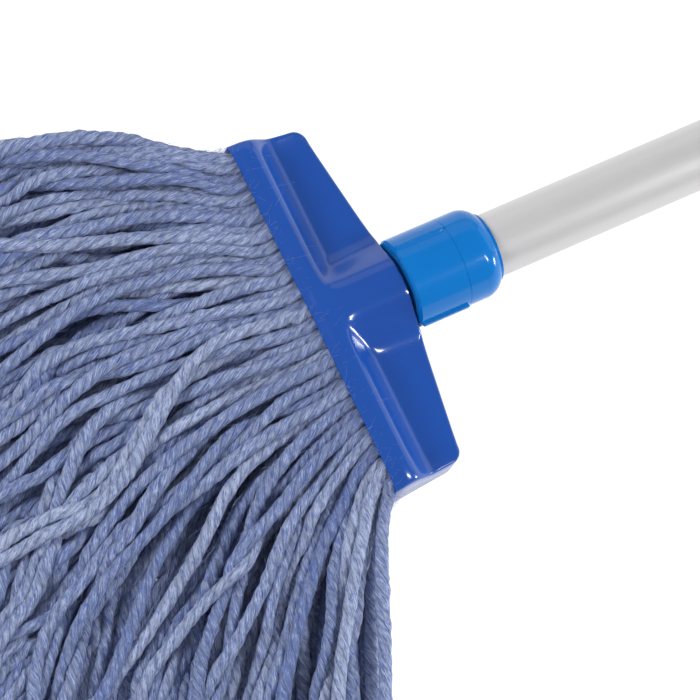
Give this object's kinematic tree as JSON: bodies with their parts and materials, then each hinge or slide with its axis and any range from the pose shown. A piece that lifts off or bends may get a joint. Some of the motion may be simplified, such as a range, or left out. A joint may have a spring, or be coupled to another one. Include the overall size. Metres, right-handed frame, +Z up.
{
  "type": "string mop",
  "caption": "String mop with a pressed steel yarn clip, a screw collar and a tubular aluminium handle, lying on the floor with its cotton yarn fanned to one side.",
  "frame": {"origin": "on the floor, on the flat underside of the yarn, 60 mm in front of the middle of the clip's mouth", "axes": "+X along the floor from the yarn towards the handle's end cap, +Z up, so that the clip's pressed front faces up; the yarn is swept towards -Y"},
  "size_m": [1.7475, 0.4778, 0.0451],
  "materials": {
    "clip_paint": "gloss blue stove enamel on pressed steel",
    "wire_steel": "zinc plated steel wire",
    "yarn": "twisted blue and white melange cotton yarn",
    "socket_nylon": "moulded natural nylon",
    "collar_plastic": "gloss moulded azure polypropylene",
    "tube_aluminium": "satin anodised drawn tube",
    "cap_plastic": "moulded blue polypropylene"
  },
  "bodies": {
    "head": {"clip_front": "clip_paint", "clip_back": "clip_paint", "cross_wire": "wire_steel", "yarn_fold": "yarn", "socket_insert": "socket_nylon", "yarn_lock_1": "yarn", "yarn_lock_2": "yarn", "yarn_lock_3": "yarn", "yarn_lock_4": "yarn", "yarn_lock_5": "yarn", "yarn_lock_6": "yarn", "yarn_lock_7": "yarn", "yarn_lock_8": "yarn", "yarn_lock_9": "yarn", "yarn_lock_10": "yarn", "yarn_lock_11": "yarn"},
    "handle": {"handle_tube": "tube_aluminium", "tip_plug": "socket_nylon", "lock_pin": "wire_steel", "end_cap": "cap_plastic"},
    "washer": {"thrust_washer": "socket_nylon"},
    "collar": {"collar_nut": "collar_plastic", "collar_cap": "collar_plastic"}
  },
  "joints": [
    {"name": "handle_pull", "type": "slide", "parent": "head", "child": "handle", "axis": [1, 0, -0.0093], "range_m": [0, 0.045]},
    {"name": "collar_travel", "type": "slide", "parent": "handle", "child": "washer", "axis": [1, 0, -0.0093], "range_m": [0, 0.012]},
    {"name": "collar_turn", "type": "hinge", "parent": "washer", "child": "collar", "pos_m": [0.118, 0, 0.02646], "axis": [1, 0, -0.0093], "range_deg": [0, 1081]}
  ],
  "couplings": [
    {"joint": "collar_turn", "follows": "collar_travel", "rad_per_m": 1570.8}
  ]
}
